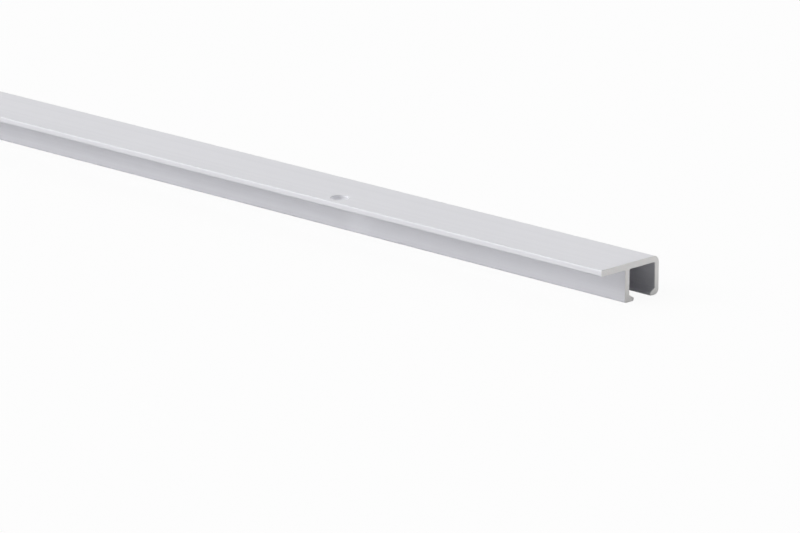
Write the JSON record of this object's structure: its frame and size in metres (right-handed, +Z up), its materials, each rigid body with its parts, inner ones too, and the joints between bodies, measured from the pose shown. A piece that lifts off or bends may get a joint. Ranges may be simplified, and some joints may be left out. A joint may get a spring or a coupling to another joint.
{
  "type": "aluminium extrusion profile",
  "caption": "Extruded aluminium hanging rail: a lipped channel open downwards, whose flat top plate runs on as a drilled screw flange.",
  "frame": {"origin": "middle of the bounding box on the floor under the lips", "axes": "+X along the rail, +Y from the screw flange towards the channel, +Z up through the top plate"},
  "size_m": [1, 0.022, 0.0105],
  "materials": {
    "anodised_aluminium": "satin natural anodised, with sawn ends"
  },
  "bodies": {
    "root": {"rail": "anodised_aluminium"}
  },
  "joints": []
}
